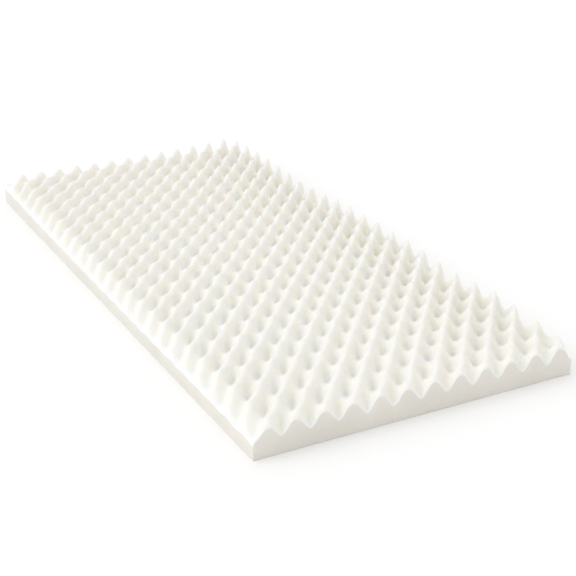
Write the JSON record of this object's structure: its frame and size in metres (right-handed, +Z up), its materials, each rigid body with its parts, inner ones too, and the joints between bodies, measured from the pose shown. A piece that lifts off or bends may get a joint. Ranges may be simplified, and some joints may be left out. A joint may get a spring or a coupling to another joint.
{
  "type": "egg-crate foam mattress topper",
  "caption": "Flat rectangular slab of soft open-cell foam with a waved egg-crate top, straight cut sides and a flat underside.",
  "frame": {"origin": "centre of the slab's outline, on the flat underside", "axes": "+Y along the length, from the front cut to the back cut; +X across; +Z up, out of the waved face"},
  "size_m": [0.838, 1.905, 0.1016],
  "materials": {
    "foam": "matte cream-white open-cell foam"
  },
  "bodies": {
    "root": {"foam_slab": "foam"}
  },
  "joints": []
}
